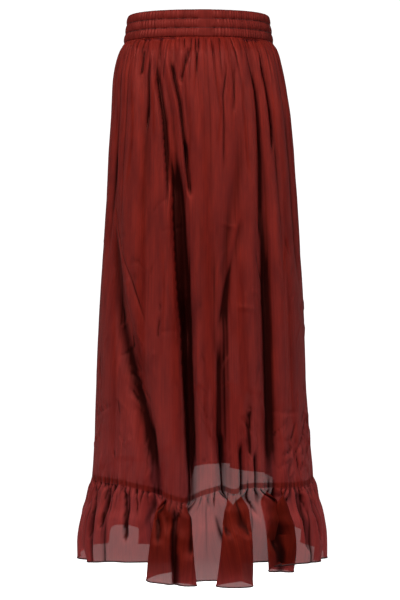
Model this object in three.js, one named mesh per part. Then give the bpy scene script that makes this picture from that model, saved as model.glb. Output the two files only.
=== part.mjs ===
// A gathered maxi skirt with an elastic waistband, a raised front hem and a ruffle along the hem, held
// open as when worn.
// Millimetres, +Z up. The origin is the centre of the waist, at the middle of the waistband's height.
// The back of the skirt faces -Y and the front +Y, and bearings are degrees round from the centre back
// towards +X.
import * as THREE from "three";

// Driving sizes. The side inset is in degrees, half the gap at each side seam.
const SEAM_GAP = 0.3;
const SIDE_INSET = 0.07;
const BAND = {
  height: 48,
  thickness: 3,
  topHalfWidth: 124.5,
  topHalfDepth: 90,
  bottomHalfWidth: 132,
  bottomHalfDepth: 96,
};
const BODY_WALL = 1.5;
const RUFFLE_WALL = 1.3;
const SQUARENESS = 0.035;
const SHARPEST_TURN = 0.7;

// How many gathers go round each seam, and how finely each ring is divided
const BAND_GATHERS = 60;
const WAIST_GATHERS = 48;
const RUFFLE_GATHERS = 48;
const COLUMNS_PER_BAND_GATHER = 3;
const BAND_LINING_COLUMNS = 60;
const TOP_COLUMNS = 112;
const BODY_COLUMNS = 70;
const RUFFLE_COLUMNS = 112;

// The smooth form under the folds: half width and half depth at each height, out to the crests of the folds
const SECTIONS = [
  { z: -24, halfWidth: 130.5, halfDepth: 94.5, centreX: 0, centreY: 0 },
  { z: -33, halfWidth: 137, halfDepth: 101, centreX: 0, centreY: -1 },
  { z: -53, halfWidth: 143.7, halfDepth: 109, centreX: 0.6, centreY: -2 },
  { z: -89, halfWidth: 150, halfDepth: 116, centreX: 1.4, centreY: -4 },
  { z: -160, halfWidth: 157.5, halfDepth: 124, centreX: 4.4, centreY: -6 },
  { z: -302, halfWidth: 168.5, halfDepth: 136, centreX: 5.2, centreY: -5 },
  { z: -480, halfWidth: 179.5, halfDepth: 150, centreX: 4.8, centreY: -2 },
  { z: -694, halfWidth: 189.2, halfDepth: 168, centreX: 5.9, centreY: 0 },
  { z: -806, halfWidth: 196.5, halfDepth: 177, centreX: 6.6, centreY: 0 },
  { z: -970, halfWidth: 204, halfDepth: 187, centreX: 6.4, centreY: 0 },
];

// How far the ruffle stands out from that form, from its seam down to its hem
const FLARE = [
  { down: 0, out: 0 },
  { down: 0.14, out: 6 },
  { down: 0.3, out: 8.5 },
  { down: 0.45, out: 13.5 },
  { down: 0.7, out: 15 },
  { down: 1, out: 13 },
];

// The heights of the ruffle's seam and of its hem, all the way round from the left side seam
const HEM_LINE = [
  { bearing: -90, seam: -784, hem: -920 },
  { bearing: -60, seam: -781, hem: -917 },
  { bearing: -42, seam: -783, hem: -909 },
  { bearing: -30, seam: -790, hem: -908 },
  { bearing: -22, seam: -798, hem: -911 },
  { bearing: -18, seam: -801, hem: -938 },
  { bearing: -8, seam: -812, hem: -945 },
  { bearing: -2, seam: -800, hem: -941 },
  { bearing: 3, seam: -794, hem: -938 },
  { bearing: 10, seam: -789, hem: -945 },
  { bearing: 16, seam: -797, hem: -946 },
  { bearing: 18.5, seam: -792, hem: -942 },
  { bearing: 22, seam: -787, hem: -913 },
  { bearing: 28, seam: -786, hem: -909 },
  { bearing: 33, seam: -787, hem: -913 },
  { bearing: 37, seam: -788, hem: -928 },
  { bearing: 44, seam: -789, hem: -932 },
  { bearing: 49, seam: -790, hem: -916 },
  { bearing: 90, seam: -786, hem: -920 },
  { bearing: 106, seam: -772, hem: -912 },
  { bearing: 120, seam: -750, hem: -893 },
  { bearing: 129, seam: -728, hem: -880 },
  { bearing: 144, seam: -650, hem: -790 },
  { bearing: 156, seam: -636, hem: -778 },
  { bearing: 172, seam: -628, hem: -768 },
  { bearing: 183, seam: -638, hem: -779 },
  { bearing: 186, seam: -655, hem: -800 },
  { bearing: 191, seam: -715, hem: -890 },
  { bearing: 200, seam: -750, hem: -914 },
  { bearing: 213, seam: -768, hem: -922 },
  { bearing: 218, seam: -766, hem: -882 },
  { bearing: 229, seam: -762, hem: -880 },
  { bearing: 234, seam: -766, hem: -908 },
  { bearing: 250, seam: -776, hem: -914 },
  { bearing: 270, seam: -784, hem: -920 },
];

// Heights at which the folds are given: shares of the body's length, then 2 for the hem of the ruffle
const STATIONS = [0, 0.22, 0.54, 1, 2];

// The large folds, each a trough: its bearing, depth and half width at each station, and how far its floor
// slides sideways at the hem
const TROUGHS = [
  {
    place: "back, left diagonal",
    bearing: [-72, -66, -56, -24, -26],
    depth: [0, 4, 9, 14, 32],
    wide: [14, 15, 20, 17, 15],
    slide: 18,
  },
  {
    place: "back, short left",
    bearing: [-41, -35, -33, -32, -32],
    depth: [8, 5, 0, 0, 0],
    wide: [11, 11, 11, 11, 11],
    slide: 0,
  },
  {
    place: "back, main left",
    bearing: [-30, -17, -9.5, -6.5, -4.5],
    depth: [8, 12, 18, 21, 30],
    wide: [10, 12, 14, 14, 12],
    slide: -6,
  },
  {
    place: "back, inner left",
    bearing: [-20, -8, 0, 2, 2],
    depth: [7, 7, 5, 3, 0],
    wide: [10, 11, 12, 12, 12],
    slide: 0,
  },
  {
    place: "back, between the flutes",
    bearing: [2, 2, 2, 2, 0.8],
    depth: [0, 0, 0, 0, 20],
    wide: [12, 12, 12, 12, 12],
    slide: 0,
  },
  {
    place: "back, slanting right",
    bearing: [34, 26, 12.5, 10.5, 6],
    depth: [2, 5, 13, 17, 28],
    wide: [11, 13, 16, 14, 13],
    slide: 20,
  },
  {
    place: "back, above the right flute",
    bearing: [28, 28, 28, 24, 23.5],
    depth: [0, 0, 0, 9, 34],
    wide: [12, 12, 12, 14, 13],
    slide: -10,
  },
  {
    place: "back, main right",
    bearing: [39, 40, 38, 37, 30],
    depth: [8, 12, 14, 14, 24],
    wide: [10, 12, 17, 18, 13],
    slide: 0,
  },
  {
    place: "back, set back between flutes",
    bearing: [40, 40, 40, 40, 39.7],
    depth: [0, 0, 0, 4, 13],
    wide: [12, 14, 16, 16, 17],
    slide: 0,
  },
  {
    place: "back, outer right",
    bearing: [48, 50, 52, 50, 48],
    depth: [6, 6, 2, 7, 28],
    wide: [10, 12, 13, 14, 13],
    slide: -10,
  },
  {
    place: "left side",
    bearing: [-84, -82, -88, -86, -70],
    depth: [5, 5, 3, 6, 18],
    wide: [12, 14, 18, 18, 16],
    slide: 6,
  },
  {
    place: "right side",
    bearing: [80, 84, 86, 82, 74],
    depth: [5, 4, 3, 6, 18],
    wide: [12, 14, 18, 18, 16],
    slide: -6,
  },
  {
    place: "front, outer right",
    bearing: [112, 114, 116, 114, 112],
    depth: [6, 8, 12, 15, 26],
    wide: [11, 13, 17, 17, 14],
    slide: 12,
  },
  {
    place: "front, main right",
    bearing: [140, 138, 136, 134, 132],
    depth: [8, 11, 16, 18, 30],
    wide: [11, 12, 16, 16, 14],
    slide: -12,
  },
  {
    place: "front, inner right",
    bearing: [160, 157, 156, 154, 153],
    depth: [6, 6, 11, 16, 28],
    wide: [11, 12, 16, 16, 14],
    slide: 10,
  },
  {
    place: "front, centre",
    bearing: [181, 178, 176, 175, 174],
    depth: [5, 7, 8, 14, 27],
    wide: [11, 12, 16, 15, 14],
    slide: -10,
  },
  {
    place: "front, inner left",
    bearing: [201, 200, 197, 195, 195],
    depth: [7, 10, 14, 17, 28],
    wide: [11, 12, 16, 16, 14],
    slide: 10,
  },
  {
    place: "front, main left",
    bearing: [222, 221, 219, 217, 216],
    depth: [7, 11, 16, 17, 29],
    wide: [11, 12, 16, 16, 14],
    slide: -10,
  },
  {
    place: "front, outer left",
    bearing: [243, 245, 243, 239, 235],
    depth: [6, 7, 11, 15, 24],
    wide: [11, 13, 17, 17, 14],
    slide: 10,
  },
];

// Waves that fade as they leave a seam: how many go round, their height, the share of it that they have at
// the seam itself, and how far down their piece they are full and have faded
const WAIST_WAVES = [
  { count: WAIST_GATHERS, height: 2.4, atSeam: 0.45, full: 0.012, faded: 0.13, wander: 1.6 },
  { count: 11, height: 3, atSeam: 0, full: 0.1, faded: 0.6, wander: 1.1 },
];
const RUFFLE_WAVES = [
  { count: RUFFLE_GATHERS, height: 2.8, atSeam: 0, full: 0.12, faded: 0.7, wander: 1.7 },
  { count: 11, height: 7, atSeam: 0, full: 0.66, faded: 3, wander: 1.2 },
];

// The slow waves that shift the gathers round, and how much their heights differ
const WANDERS = [
  { turns: 3, share: 1, shift: 1 },
  { turns: 7, share: 0.6, shift: 2.3 },
  { turns: 13, share: 0.4, shift: 4.1 },
];
const UNEVENNESS = 0.25;
const UNEVEN_TURNS = 5;

// The rows of points down each piece
const TOP_ROWS = [0, 0.008, 0.03, 0.08];
const BODY_ROWS = [0.16, 0.27, 0.38, 0.5, 0.62, 0.74, 0.87];
const RUFFLE_ROWS = [0, 0.12, 0.36, 0.66, 1];

// The waistband's three sewn channels, down from its top edge, and the plain join at the centre back
const CHANNELS = 3;
const STITCH_DEPTH = 1.3;
const BOTTOM_STITCH_DEPTH = 0.65;
const SHIRRING_HEIGHT = 0.85;
const EDGE_ROUND = 1.2;
const JOIN = { bearing: 5.2, halfWidth: 10, blend: 6 };

const radians = THREE.MathUtils.degToRad;
const smooth = THREE.MathUtils.smoothstep;

// Reads a column of a table at any place between its rows
function along(rows, key, column, at) {
  const falling = rows[0][key] > rows[rows.length - 1][key];
  const sign = falling ? -1 : 1;
  const last = rows.length - 1;
  if (sign * at <= sign * rows[0][key]) return rows[0][column];
  if (sign * at >= sign * rows[last][key]) return rows[last][column];
  const next = rows.findIndex((row) => sign * row[key] >= sign * at);
  const [a, b] = [rows[next - 1], rows[next]];
  const share = (at - a[key]) / (b[key] - a[key]);
  return a[column] + (b[column] - a[column]) * share;
}

// Reads one of a trough's lists at a place between the stations, easing from one to the next
function atStation(values, place) {
  let k = 0;
  while (k < STATIONS.length - 2 && place > STATIONS[k + 1]) k += 1;
  const share = THREE.MathUtils.clamp((place - STATIONS[k]) / (STATIONS[k + 1] - STATIONS[k]), 0, 1);
  return values[k] + (values[k + 1] - values[k]) * share;
}

// Degrees from one bearing to another, the short way round
function turn(from, to) {
  return THREE.MathUtils.euclideanModulo(to - from + 180, 360) - 180;
}

// A slow wander of the gathers, so that they are not evenly spaced
function wander(bearing, seed) {
  const a = radians(bearing);
  const swing = ({ turns, share, shift }) => share * Math.sin(turns * a + shift * seed);
  return WANDERS.reduce((sum, row) => sum + swing(row), 0);
}

// The ripple that a set of waves leaves at a bearing and a share of the way down its piece
function ripple(waves, bearing, down) {
  return waves.reduce((sum, wave, k) => {
    const rise = wave.atSeam + (1 - wave.atSeam) * smooth(down, 0, wave.full);
    const strength = rise * (1 - smooth(down, wave.full, wave.faded));
    const phase = wave.count * radians(bearing) + wave.wander * wander(bearing, k + 1);
    const uneven = 1 - UNEVENNESS * (1 - Math.sin(UNEVEN_TURNS * radians(bearing) + k));
    return sum + wave.height * strength * uneven * Math.cos(phase);
  }, 0);
}

// The height of the ruffle's seam or of its hem at a bearing
function lineHeight(column, bearing) {
  const round = THREE.MathUtils.euclideanModulo(bearing + 90, 360) - 90;
  return along(HEM_LINE, "bearing", column, round);
}

// How far below the seam the ruffle's top edge lies, so that the gap is the same where the seam climbs
function seamDrop(bearing) {
  const arc = 2 * radians(SECTIONS[SECTIONS.length - 1].halfDepth);
  const slope = (lineHeight("seam", bearing + 1) - lineHeight("seam", bearing - 1)) / arc;
  return SEAM_GAP * (1 + Math.abs(slope));
}

// A point on the smooth form, pushed out by a given amount, before any fold
function onForm(bearing, halfWidth, halfDepth) {
  const a = radians(bearing);
  const corner = 1 + SQUARENESS * Math.sin(2 * a) ** 2;
  return { x: halfWidth * Math.sin(a) * corner, y: -halfDepth * Math.cos(a) * corner };
}

// A point of the cloth's outer face. place runs from 0 at the waist to 1 at the ruffle's seam and 2 at
// its hem.
function clothPoint(bearing, place, part) {
  const down = place - 1;
  const inRuffle = part === "ruffle";
  const seamZ = lineHeight("seam", bearing);
  const topZ = -BAND.height / 2 - SEAM_GAP;
  const z = inRuffle
    ? THREE.MathUtils.lerp(seamZ, lineHeight("hem", bearing), down)
    : THREE.MathUtils.lerp(topZ, seamZ, place);
  const flare = inRuffle ? along(FLARE, "down", "out", down) : 0;
  const wide = along(SECTIONS, "z", "halfWidth", z) + flare;
  const deep = along(SECTIONS, "z", "halfDepth", z) + flare;
  const base = onForm(bearing, wide, deep);
  const ahead = onForm(bearing + 1, wide, deep);
  const behind = onForm(bearing - 1, wide, deep);
  const across = new THREE.Vector2(ahead.x - behind.x, ahead.y - behind.y);
  const perDegree = across.length() / 2;
  across.normalize();
  const outward = new THREE.Vector2(across.y, -across.x);
  let out = inRuffle ? ripple(RUFFLE_WAVES, bearing, down) : ripple(WAIST_WAVES, bearing, place);
  let aside = 0;
  for (const trough of TROUGHS) {
    const off = turn(atStation(trough.bearing, place), bearing) * perDegree;
    const share = Math.exp(-((off / atStation(trough.wide, place)) ** 2));
    out -= atStation(trough.depth, place) * share;
    if (inRuffle) aside += trough.slide * smooth(down, 0, 1) * share;
  }
  return new THREE.Vector3(
    along(SECTIONS, "z", "centreX", z) + base.x + outward.x * out + across.x * aside,
    along(SECTIONS, "z", "centreY", z) + base.y + outward.y * out + across.y * aside,
    z,
  );
}

// The row of points a wall's thickness inside a row of outer ones, level with it. The row comes with a
// spare point at each end, so that a panel's ends are square to the cloth that goes on past its seam.
function liningRow(row, thickness) {
  return row.slice(1, -1).map((here, k) => {
    const arriving = new THREE.Vector2(here.x - row[k].x, here.y - row[k].y).normalize();
    const leaving = new THREE.Vector2(row[k + 2].x - here.x, row[k + 2].y - here.y).normalize();
    const along = arriving.clone().add(leaving).normalize();
    const reach = thickness / Math.max(SHARPEST_TURN, along.dot(leaving));
    return new THREE.Vector3(here.x - along.y * reach, here.y + along.x * reach, here.z);
  });
}

// A closed wall between an outer and an inner list of rows of points, each row from the top down
class Wall {
  constructor(outerRows, innerRows, closedRing) {
    this.points = [];
    this.faces = [];
    const outer = outerRows.map((row) => this.addRow(row, closedRing));
    const inner = innerRows.map((row) => this.addRow(row, closedRing));
    for (let r = 1; r < outer.length; r += 1) this.zip(outer[r - 1], outer[r]);
    for (let r = 1; r < inner.length; r += 1) this.zip(inner[r - 1], inner[r], true);
    this.zip(outer[0], inner[0], true);
    this.zip(outer[outer.length - 1], inner[inner.length - 1]);
    if (!closedRing) {
      this.zip(outer.map((row) => row[0]), inner.map((row) => row[0]));
      this.zip(inner.map((row) => row[row.length - 1]), outer.map((row) => row[row.length - 1]));
    }
  }

  addRow(row, closedRing) {
    const first = this.points.length;
    this.points.push(...row);
    const ids = row.map((_, k) => first + k);
    if (closedRing) ids.push(first);
    return ids;
  }

  // Joins two rows with triangles, whatever their numbers of points, facing the other way if turned
  zip(upper, lower, turned = false) {
    const add = (a, b, c) => (turned ? this.faces.push(a, c, b) : this.faces.push(a, b, c));
    const lastUpper = upper.length - 1;
    const lastLower = lower.length - 1;
    let i = 0;
    let j = 0;
    while (i < lastUpper || j < lastLower) {
      const upperIsBehind = (i + 1) * lastLower <= (j + 1) * lastUpper;
      if (j === lastLower || (i < lastUpper && upperIsBehind)) {
        add(upper[i], lower[j], upper[i + 1]);
        i += 1;
      } else {
        add(upper[i], lower[j], lower[j + 1]);
        j += 1;
      }
    }
  }

  geometry() {
    const geometry = new THREE.BufferGeometry().setFromPoints(this.points);
    geometry.setIndex(this.faces);
    geometry.computeVertexNormals();
    return geometry;
  }
}

// Bearings from one side seam to the other, a little in from each, with a spare one past each end
function bearingsAcross(from, columns) {
  const step = (180 - 2 * SIDE_INSET) / columns;
  return Array.from({ length: columns + 3 }, (_, k) => from + SIDE_INSET + step * (k - 1));
}

// A panel's wall from its rows, each with its place, its number of columns, its thickness and how far it is
// lowered
function panel(from, part, rows) {
  const outer = [];
  const inner = [];
  for (const { place, columns, thickness, lowered } of rows) {
    const bearings = bearingsAcross(from, columns);
    const row = bearings.map((bearing) => {
      const point = clothPoint(bearing, place, part);
      if (lowered) point.z -= seamDrop(bearing);
      return point;
    });
    outer.push(row.slice(1, -1));
    inner.push(liningRow(row, thickness));
  }
  return new Wall(outer, inner, false).geometry();
}

function bodyPanel(from) {
  const row = (place, columns) => ({ place, columns, thickness: BODY_WALL, lowered: false });
  return panel(from, "body", [
    ...TOP_ROWS.map((place) => row(place, TOP_COLUMNS)),
    ...BODY_ROWS.map((place) => row(place, BODY_COLUMNS)),
    row(1, RUFFLE_COLUMNS),
  ]);
}

// The ruffle is as thick as the body where the two are sewn together
function rufflePanel(from) {
  const rows = RUFFLE_ROWS.map((down) => ({
    place: 1 + down,
    columns: RUFFLE_COLUMNS,
    thickness: down === 0 ? BODY_WALL : RUFFLE_WALL,
    lowered: down === 0,
  }));
  return panel(from, "ruffle", rows);
}

// How far in from the crests the waistband's outer face lies on its stitched rows and edges
function bandStitching(down, isCrest) {
  if (isCrest) return 0;
  if (down === 0) return STITCH_DEPTH + EDGE_ROUND;
  return down === 1 ? BOTTOM_STITCH_DEPTH : STITCH_DEPTH;
}

function bandPoint(bearing, down, inset) {
  const wide = THREE.MathUtils.lerp(BAND.topHalfWidth, BAND.bottomHalfWidth, down) - inset;
  const deep = THREE.MathUtils.lerp(BAND.topHalfDepth, BAND.bottomHalfDepth, down) - inset;
  const { x, y } = onForm(bearing, wide, deep);
  return new THREE.Vector3(x, y, BAND.height / 2 - BAND.height * down);
}

// The waistband is one strip with its elastic in three channels, shirred all round but for the plain join
function waistband() {
  const columns = BAND_GATHERS * COLUMNS_PER_BAND_GATHER;
  const outer = Array.from({ length: 2 * CHANNELS + 1 }, (_, r) => {
    const down = r / (2 * CHANNELS);
    const isCrest = r % 2 === 1;
    return Array.from({ length: columns }, (__, k) => {
      const bearing = (360 * k) / columns;
      const fromJoin = Math.abs(turn(JOIN.bearing, bearing)) * radians(BAND.topHalfWidth);
      const shirred = smooth(fromJoin, JOIN.halfWidth, JOIN.halfWidth + JOIN.blend);
      const inFurrow = k % COLUMNS_PER_BAND_GATHER !== (isCrest ? 1 : 0);
      const furrow = inFurrow ? SHIRRING_HEIGHT * shirred : 0;
      return bandPoint(bearing, down, bandStitching(down, isCrest) + furrow);
    });
  });
  const inner = [0, 1].map((down) =>
    Array.from({ length: BAND_LINING_COLUMNS }, (_, k) =>
      bandPoint((360 * k) / BAND_LINING_COLUMNS, down, BAND.thickness + EDGE_ROUND),
    ),
  );
  return new Wall(outer, inner, true).geometry();
}

const silk = () => new THREE.MeshStandardMaterial({ color: 0x6b2420, roughness: 0.45, metalness: 0 });
const bandSilk = () => new THREE.MeshStandardMaterial({ color: 0x682422, roughness: 0.55, metalness: 0 });

function piece(name, geometry, material) {
  const mesh = new THREE.Mesh(geometry, material);
  mesh.name = name;
  return mesh;
}

const skirt = new THREE.Group();
skirt.add(
  piece("waistband", waistband(), bandSilk()),
  piece("back_panel", bodyPanel(-90), silk()),
  piece("front_panel", bodyPanel(90), silk()),
  piece("back_ruffle", rufflePanel(-90), silk()),
  piece("front_ruffle", rufflePanel(90), silk()),
);

export default skirt;
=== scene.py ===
"""A gathered maxi skirt of sheer silk, held open as when worn: a shirred elastic waistband, a body gathered
into it, and a ruffle along a hem that is raised at the front. Its sizes are in millimetres in the tables
below and in metres in Blender, with Z up, the back of the skirt towards -Y and the front towards +Y."""

import math

import bpy
import numpy as np
from bpy.props import FloatProperty, FloatVectorProperty, IntProperty, PointerProperty
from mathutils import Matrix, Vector


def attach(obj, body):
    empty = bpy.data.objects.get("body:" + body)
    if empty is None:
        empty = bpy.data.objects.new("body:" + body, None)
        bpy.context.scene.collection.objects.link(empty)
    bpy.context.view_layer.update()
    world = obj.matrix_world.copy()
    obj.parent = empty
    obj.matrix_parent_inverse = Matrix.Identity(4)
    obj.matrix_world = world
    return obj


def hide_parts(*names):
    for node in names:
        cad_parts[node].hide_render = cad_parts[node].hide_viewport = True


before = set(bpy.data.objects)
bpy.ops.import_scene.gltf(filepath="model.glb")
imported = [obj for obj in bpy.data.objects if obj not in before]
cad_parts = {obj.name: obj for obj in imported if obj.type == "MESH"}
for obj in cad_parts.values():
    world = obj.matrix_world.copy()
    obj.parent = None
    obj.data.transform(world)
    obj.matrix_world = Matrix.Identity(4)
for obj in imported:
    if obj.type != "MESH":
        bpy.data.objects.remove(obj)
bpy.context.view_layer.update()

bl_info = {
    "name": "Gathered Maxi Skirt",
    "version": (1, 0, 0),
    "blender": (4, 5, 0),
    "location": "View3D > Sidebar > Skirt",
    "description": "Builds a sheer gathered maxi skirt with a shirred waistband and a ruffled, raised hem",
    "category": "Add Mesh",
}

MM = 0.001
UP = np.array([0.0, 0.0, 1.0])


def rows_of(names, *rows):
    """The rows of a table, with each value under the name of its column."""
    return [dict(zip(names.split(), row)) for row in rows]


# The smooth form under the folds, out to their crests, at heights from the waistband down
SECTIONS = rows_of(
    "z half_width half_depth centre_x centre_y",
    (-24, 130.5, 94.5, 0.0, 0),
    (-33, 137.0, 101, 0.0, -1),
    (-53, 143.7, 109, 0.6, -2),
    (-89, 150.0, 116, 1.4, -4),
    (-160, 157.5, 124, 4.4, -6),
    (-302, 168.5, 136, 5.2, -5),
    (-480, 179.5, 150, 4.8, -2),
    (-694, 189.2, 168, 5.9, 0),
    (-806, 196.5, 177, 6.6, 0),
    (-970, 204.0, 187, 6.4, 0),
)
SQUARENESS = 0.035

# How far the ruffle stands out from that form, from its seam down to its hem
FLARE = rows_of(
    "down out",
    (0.0, 0.0), (0.14, 6.0), (0.3, 8.5), (0.45, 13.5), (0.7, 15.0), (1.0, 13.0),
)

# The heights of the ruffle's seam and of its hem all the way round. Bearings are degrees round from the
# centre back towards +X.
HEM_LINE = rows_of(
    "bearing seam hem",
    (-90, -784, -920), (-60, -781, -917), (-42, -783, -909), (-30, -790, -908),
    (-25, -796, -911), (-21, -799, -937), (-8, -812, -945), (-2, -800, -941),
    (3, -794, -938), (10, -789, -945), (16, -797, -946), (18.5, -792, -942),
    (22, -787, -913), (28, -786, -909), (32, -787, -913), (36, -788, -925),
    (46, -789, -931), (50.5, -790, -916), (90, -786, -920), (106, -772, -912),
    (120, -750, -893), (129, -728, -880), (144, -650, -790), (156, -636, -778),
    (172, -628, -768), (183, -638, -777), (186.2, -648, -779), (187.4, -690, -864),
    (191, -726, -896), (200, -750, -914), (213, -768, -922), (218, -766, -882),
    (229, -762, -880), (234, -766, -908), (250, -776, -914), (270, -784, -920),
)
# How the line's corners are rounded off: degrees to either side, and the weight of the height found there
CORNER_ROUNDING = [(-2.0, 0.25), (0.0, 0.5), (2.0, 0.25)]

# Places at which the large folds are given: shares of the body's length, then 2 for the hem of the ruffle
STATIONS = [0, 0.22, 0.54, 1, 2]

# The large folds, each a trough: its bearing, depth and half width at each station, and how far its floor
# slides sideways at the hem
TROUGHS = rows_of(
    "place bearing depth wide slide",
    ("back, left diagonal", [-72, -66, -56, -24, -26], [0, 4, 9, 14, 32], [14, 15, 20, 17, 15], 18),
    ("back, short left", [-41, -35, -33, -32, -32], [8, 5, 0, 0, 0], [11, 11, 11, 11, 11], 0),
    ("back, main left", [-30, -17, -9.5, -6.5, -4.5], [8, 12, 18, 21, 30], [10, 12, 14, 14, 12], -6),
    ("back, inner left", [-20, -8, 0, 2, 2], [7, 7, 5, 3, 0], [10, 11, 12, 12, 12], 0),
    ("back, between the flutes", [2, 2, 2, 2, 0.8], [0, 0, 0, 0, 20], [12, 12, 12, 12, 12], 0),
    ("back, slanting right", [34, 26, 12.5, 10.5, 6], [2, 5, 13, 17, 28], [11, 13, 16, 14, 13], 20),
    ("back, above the right flute", [28, 28, 28, 24, 23.5], [0, 0, 0, 9, 34], [12, 12, 12, 14, 13], -10),
    ("back, main right", [39, 40, 38, 37, 30], [8, 12, 14, 14, 24], [10, 12, 17, 18, 13], 0),
    ("back, outer right", [48, 50, 52, 50, 48], [6, 6, 2, 7, 28], [10, 12, 13, 14, 13], -10),
    ("back, set back between flutes", [40, 40, 40, 40, 39.7], [0, 0, 0, 4, 13], [12, 14, 16, 16, 17], 0),
    ("left side", [-84, -82, -88, -86, -70], [5, 5, 3, 6, 18], [12, 14, 18, 18, 16], 6),
    ("right side", [80, 84, 86, 82, 74], [5, 4, 3, 6, 18], [12, 14, 18, 18, 16], -6),
    ("front, outer right", [112, 114, 116, 114, 112], [6, 8, 12, 15, 26], [11, 13, 17, 17, 14], 12),
    ("front, main right", [140, 138, 136, 134, 132], [8, 11, 16, 18, 30], [11, 12, 16, 16, 14], -12),
    ("front, inner right", [160, 157, 156, 154, 153], [6, 6, 11, 16, 28], [11, 12, 16, 16, 14], 10),
    ("front, centre", [181, 178, 176, 175, 174], [5, 7, 8, 14, 27], [11, 12, 16, 15, 14], -10),
    ("front, inner left", [201, 200, 197, 195, 195], [7, 10, 14, 17, 28], [11, 12, 16, 16, 14], 10),
    ("front, main left", [222, 221, 219, 217, 216], [7, 11, 16, 17, 29], [11, 12, 16, 16, 14], -10),
    ("front, outer left", [243, 245, 243, 239, 235], [6, 7, 11, 15, 24], [11, 13, 17, 17, 14], 10),
)

# Creases laid on the body: how deep each is (or how high, where the depth is below nothing), the
# half width of its floor on the left and on the right, and its path as (bearing, height) points
CREASES = rows_of(
    "place depth left right path",
    ("short, outer left", 4.0, 3, 4, [(-42, -43), (-41, -90)]),
    ("left gather", 5.0, 3, 4, [(-35, -48), (-34.6, -131), (-35, -190)]),
    ("main left, upper", 12, 2.6, 8,
     [(-31.4, -50), (-27.6, -118), (-24, -172), (-21.4, -250), (-19, -330)]),
    ("main left, middle", 16, 2.2, 26, [(-19, -215), (-17, -330), (-14, -450), (-11, -572)]),
    ("main left, lower", 17, 2.2, 26, [(-13.3, -450), (-11, -572), (-9, -677), (-7, -800), (-6.5, -840)]),
    ("second left", 8, 3, 5, [(-21.5, -50), (-17.5, -90), (-14, -139), (-10.5, -217), (-9.5, -262)]),
    ("short slanting", 6, 5, 3, [(-5, -38), (-10, -76), (-12.7, -110)]),
    ("centre shadow", 8, 3, 7, [(-10.8, -200), (-9.4, -250), (-7.8, -286), (-6.3, -304)]),
    ("centre ridge", -3, 5, 6, [(-3, -230), (-3, -405), (-2.4, -555), (-1, -760)]),
    ("centre right valley", 8, 18, 7, [(7, -330), (7, -480), (6.6, -620), (7, -800)]),
    ("thin line right of centre", 2.6, 2.4, 1.8,
     [(18, -58), (18, -80), (14.3, -130), (14, -185), (13, -268)]),
    ("short right of the thin line", 3.0, 4, 3, [(24, -70), (22, -120), (20, -165)]),
    ("right gather", 7, 3, 6, [(34.8, -56), (38.6, -116), (38, -180), (36, -300), (34.5, -380)]),
    ("outer right gather", 7, 5, 3, [(46, -52), (48.5, -103), (49.6, -178), (47.8, -232)]),
    ("right slant", 5, 5, 12, [(25, -315), (16.4, -427), (8.7, -540)]),
    ("right slant, lower", 6, 4, 8, [(9.8, -530), (9.4, -640), (9, -725), (10, -790)]),
    ("left diagonal", 6, 40, 9,
     [(-66, -320), (-52, -430), (-41, -514), (-31, -597), (-27, -680), (-24, -760)]),
    ("left diagonal, lower", 4, 22, 8, [(-27.5, -670), (-25, -735), (-23, -800), (-22, -850)]),
    ("fine line in the left diagonal", 2.2, 3, 2, [(-64, -300), (-52, -375), (-40, -440), (-29, -520)]),
    ("broad right", 8, 10, 14, [(39.5, -370), (40.5, -506), (40.5, -640), (41, -770)]),
    ("low slant, right", 3.5, 5, 3, [(70, -676), (61, -712), (52, -742)]),
    ("low slant, far right", 2.4, 3, 4, [(76, -640), (66, -668), (60, -684)]),
    ("leaf, left edge", 2.2, 6, 2.5, [(27, -640), (25.2, -690), (26, -744)]),
    ("second line down to the seam", 12, 5, 3.6, [(20, -705), (20.3, -750), (20.5, -835)]),
    ("third line down to the seam", 9, 2.6, 3, [(28, -720), (28.2, -770), (28, -830)]),
    ("thin line down to the seam", 14, 3.2, 3.6, [(10.4, -690), (10.8, -740), (10.9, -790), (11, -840)]),
    ("leaf, right edge", 1.8, 2.5, 5, [(28, -664), (29.5, -710), (28.5, -756)]),
    ("low level crease, left", 2.2, 3, 2, [(-77, -676), (-62, -660), (-51, -650)]),
    ("low level crease, right", 2, 2, 3, [(40, -661), (60, -665)]),
    ("long soft, outer left", 4, 8, 8, [(-62, -110), (-66, -260), (-70, -420)]),
    ("long soft, outer right", 4, 8, 8, [(64, -120), (66, -300), (68, -460)]),
    ("front, first", 5, 3, 5, [(120, -60), (123, -150), (121, -240)]),
    ("front, second", 6, 3, 7, [(147, -55), (150, -120), (148, -260)]),
    ("front, third", 5, 5, 3, [(168, -50), (166, -130), (170, -205)]),
    ("front, fourth", 7, 3, 9, [(190, -60), (187, -160), (191, -330)]),
    ("front, fifth", 5, 4, 4, [(211, -52), (214, -110), (212, -190)]),
    ("front, sixth", 6, 7, 3, [(234, -58), (230, -170), (233, -280)]),
    ("front, seventh", 4.5, 4, 4, [(256, -60), (253, -140), (255, -210)]),
    ("front, slant right", 5, 5, 10, [(106, -330), (122, -430), (130, -540)]),
    ("front, slant left", 5, 10, 5, [(250, -350), (236, -450), (228, -560)]),
    ("front, long left", 6, 4, 14, [(206, -330), (203, -450), (204, -600)]),
    ("front, long right", 6, 14, 4, [(162, -300), (164, -420), (160, -580)]),
    ("front, low slant", 2.4, 4, 3, [(202, -560), (212, -600)]),
    ("front, low level", 2, 3, 3, [(150, -520), (166, -528)]),
    ("front, low side", 2.4, 4, 3, [(106, -640), (116, -676)]),
)
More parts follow.
